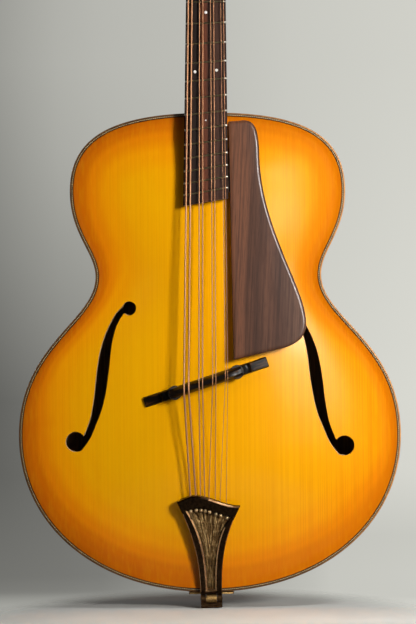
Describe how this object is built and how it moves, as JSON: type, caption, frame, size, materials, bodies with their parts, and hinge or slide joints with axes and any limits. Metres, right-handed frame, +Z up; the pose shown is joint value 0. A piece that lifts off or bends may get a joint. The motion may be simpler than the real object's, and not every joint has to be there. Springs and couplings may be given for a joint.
{
  "type": "mandocello",
  "caption": "Archtop mandocello with f-holes, a fanned fretboard, a slanted adjustable bridge, a hinged tailpiece, a finger rest and open worm-gear tuners.",
  "frame": {"origin": "middle of the end button's flat outer face, the lowest point of the instrument as it stands", "axes": "+Z up along the body's centre line to the head, front faces -Y, +X is the treble side"},
  "size_m": [0.4064, 0.1434, 1.0598],
  "materials": {
    "spruce": "gloss lacquer over an amber sunburst",
    "maple": "gloss lacquer, amber brown",
    "lining_wood": "bare wood",
    "binding": "polished plies of dark red-brown and pale tan",
    "neck_wood": "satin lacquer",
    "ebony": "oiled",
    "rosewood": "polished",
    "bone": "polished bone",
    "steel": "satin",
    "brass": "satin",
    "dark_bronze": "darkened and rubbed bright at the edges",
    "string_bronze": "bright windings"
  },
  "bodies": {
    "instrument": {"fingerboard": "ebony", "nut": "bone", "headplate": "rosewood", "truss_rod_cover": "ebony", "tuner_plate_bass": "brass", "tuner_plate_treble": "brass", "truss_rod": "steel", "finger_rest": "rosewood", "finger_rest_block": "ebony", "top_plate": "spruce", "back_plate": "maple", "rib_bass": "maple", "rib_treble": "maple", "top_binding": "binding", "back_binding": "binding", "neck_block": "lining_wood", "tail_block": "lining_wood", "top_lining_bass": "lining_wood", "top_lining_treble": "lining_wood", "back_lining_bass": "lining_wood", "back_lining_treble": "lining_wood", "tone_bar_bass": "spruce", "tone_bar_treble": "spruce", "neck": "neck_wood", "heel_cap": "ebony", "bridge_post_bass": "steel", "bridge_post_treble": "steel", "bridge_base": "ebony", "tailpiece_hinge_pin": "brass", "tailpiece_bracket": "brass", "end_button": "ebony", "string_low_c_1": "string_bronze", "string_low_c_2": "string_bronze", "string_low_g_1": "string_bronze", "string_low_g_2": "string_bronze", "string_d_1": "string_bronze", "string_d_2": "string_bronze", "string_a_1": "string_bronze", "string_a_2": "string_bronze"},
    "worm_low_c_1": {"tuner_worm_low_c_1": "steel"},
    "post_low_c_1": {"tuner_post_low_c_1": "brass"},
    "worm_low_c_2": {"tuner_worm_low_c_2": "steel"},
    "post_low_c_2": {"tuner_post_low_c_2": "brass"},
    "worm_low_g_1": {"tuner_worm_low_g_1": "steel"},
    "post_low_g_1": {"tuner_post_low_g_1": "brass"},
    "worm_low_g_2": {"tuner_worm_low_g_2": "steel"},
    "post_low_g_2": {"tuner_post_low_g_2": "brass"},
    "worm_d_1": {"tuner_worm_d_1": "steel"},
    "post_d_1": {"tuner_post_d_1": "brass"},
    "worm_d_2": {"tuner_worm_d_2": "steel"},
    "post_d_2": {"tuner_post_d_2": "brass"},
    "worm_a_1": {"tuner_worm_a_1": "steel"},
    "post_a_1": {"tuner_post_a_1": "brass"},
    "worm_a_2": {"tuner_worm_a_2": "steel"},
    "post_a_2": {"tuner_post_a_2": "brass"},
    "bridge_saddle": {"bridge_saddle": "ebony"},
    "wheel_bass": {"thumbwheel_bass": "steel"},
    "wheel_treble": {"thumbwheel_treble": "steel"},
    "tailpiece": {"tailpiece": "dark_bronze"},
    "truss_rod_nut": {"truss_rod_nut": "brass"}
  },
  "joints": [
    {"name": "worm_turn_low_c_1", "type": "hinge", "parent": "instrument", "child": "worm_low_c_1", "pos_m": [-0.02198, -0.00272, 0.9157], "axis": [0.9999, 0, -0.0101], "continuous": true},
    {"name": "post_turn_low_c_1", "type": "hinge", "parent": "instrument", "child": "post_low_c_1", "pos_m": [-0.02183, -0.01879, 0.93057], "axis": [0.003, -0.9537, 0.3008], "continuous": true},
    {"name": "worm_turn_low_c_2", "type": "hinge", "parent": "instrument", "child": "worm_low_c_2", "pos_m": [-0.02168, 0.0066, 0.94526], "axis": [0.9999, 0, -0.0101], "continuous": true},
    {"name": "post_turn_low_c_2", "type": "hinge", "parent": "instrument", "child": "post_low_c_2", "pos_m": [-0.02153, -0.00947, 0.96013], "axis": [0.003, -0.9537, 0.3008], "continuous": true},
    {"name": "worm_turn_low_g_1", "type": "hinge", "parent": "instrument", "child": "worm_low_g_1", "pos_m": [-0.02138, 0.01592, 0.97483], "axis": [0.9999, 0, -0.0101], "continuous": true},
    {"name": "post_turn_low_g_1", "type": "hinge", "parent": "instrument", "child": "post_low_g_1", "pos_m": [-0.02123, -0.00015, 0.9897], "axis": [0.003, -0.9537, 0.3008], "continuous": true},
    {"name": "worm_turn_low_g_2", "type": "hinge", "parent": "instrument", "child": "worm_low_g_2", "pos_m": [-0.02108, 0.02525, 1.00439], "axis": [0.9999, 0, -0.0101], "continuous": true},
    {"name": "post_turn_low_g_2", "type": "hinge", "parent": "instrument", "child": "post_low_g_2", "pos_m": [-0.02093, 0.00918, 1.01926], "axis": [0.003, -0.9537, 0.3008], "continuous": true},
    {"name": "worm_turn_d_1", "type": "hinge", "parent": "instrument", "child": "worm_d_1", "pos_m": [0.02892, 0.02525, 1.00388], "axis": [0.9999, 0, -0.0101], "continuous": true},
    {"name": "post_turn_d_1", "type": "hinge", "parent": "instrument", "child": "post_d_1", "pos_m": [0.02907, 0.00918, 1.01876], "axis": [0.003, -0.9537, 0.3008], "continuous": true},
    {"name": "worm_turn_d_2", "type": "hinge", "parent": "instrument", "child": "worm_d_2", "pos_m": [0.02862, 0.01592, 0.97432], "axis": [0.9999, 0, -0.0101], "continuous": true},
    {"name": "post_turn_d_2", "type": "hinge", "parent": "instrument", "child": "post_d_2", "pos_m": [0.02877, -0.00015, 0.98919], "axis": [0.003, -0.9537, 0.3008], "continuous": true},
    {"name": "worm_turn_a_1", "type": "hinge", "parent": "instrument", "child": "worm_a_1", "pos_m": [0.02832, 0.0066, 0.94476], "axis": [0.9999, 0, -0.0101], "continuous": true},
    {"name": "post_turn_a_1", "type": "hinge", "parent": "instrument", "child": "post_a_1", "pos_m": [0.02847, -0.00947, 0.95963], "axis": [0.003, -0.9537, 0.3008], "continuous": true},
    {"name": "worm_turn_a_2", "type": "hinge", "parent": "instrument", "child": "worm_a_2", "pos_m": [0.02802, -0.00272, 0.91519], "axis": [0.9999, 0, -0.0101], "continuous": true},
    {"name": "post_turn_a_2", "type": "hinge", "parent": "instrument", "child": "post_a_2", "pos_m": [0.02817, -0.01879, 0.93007], "axis": [0.003, -0.9537, 0.3008], "continuous": true},
    {"name": "saddle_lift", "type": "slide", "parent": "instrument", "child": "bridge_saddle", "axis": [0, -1, 0], "range_m": [-0.001, 0.0015], "deforming": ["string_low_c_1", "string_low_c_2", "string_low_g_1", "string_low_g_2", "string_d_1", "string_d_2", "string_a_1", "string_a_2"]},
    {"name": "wheel_turn_bass", "type": "hinge", "parent": "bridge_saddle", "child": "wheel_bass", "pos_m": [-0.03653, -0.0702, 0.22993], "axis": [0, -1, 0], "range_deg": [-519.43, 776.57]},
    {"name": "wheel_turn_treble", "type": "hinge", "parent": "bridge_saddle", "child": "wheel_treble", "pos_m": [0.02913, -0.0702, 0.25111], "axis": [0, -1, 0], "range_deg": [-519.43, 776.57]},
    {"name": "tailpiece_swing", "type": "hinge", "parent": "instrument", "child": "tailpiece", "pos_m": [0, -0.0482, 0.0105], "axis": [0.9998, 0, 0.022], "range_deg": [-2, 6], "stiffness_Nm_per_rad": 20},
    {"name": "truss_rod_nut_turn", "type": "hinge", "parent": "instrument", "child": "truss_rod_nut", "pos_m": [0.0028, -0.02597, 0.89289], "axis": [0.0101, 0.0612, 0.9981], "range_deg": [-180, 180]}
  ],
  "couplings": [
    {"joint": "post_turn_low_c_1", "follows": "worm_turn_low_c_1", "ratio": 0.071429},
    {"joint": "post_turn_low_c_2", "follows": "worm_turn_low_c_2", "ratio": 0.071429},
    {"joint": "post_turn_low_g_1", "follows": "worm_turn_low_g_1", "ratio": 0.071429},
    {"joint": "post_turn_low_g_2", "follows": "worm_turn_low_g_2", "ratio": 0.071429},
    {"joint": "post_turn_d_1", "follows": "worm_turn_d_1", "ratio": -0.071429},
    {"joint": "post_turn_d_2", "follows": "worm_turn_d_2", "ratio": -0.071429},
    {"joint": "post_turn_a_1", "follows": "worm_turn_a_1", "ratio": -0.071429},
    {"joint": "post_turn_a_2", "follows": "worm_turn_a_2", "ratio": -0.071429},
    {"joint": "wheel_turn_bass", "follows": "saddle_lift", "rad_per_m": 8976},
    {"joint": "wheel_turn_treble", "follows": "saddle_lift", "rad_per_m": 8976}
  ]
}
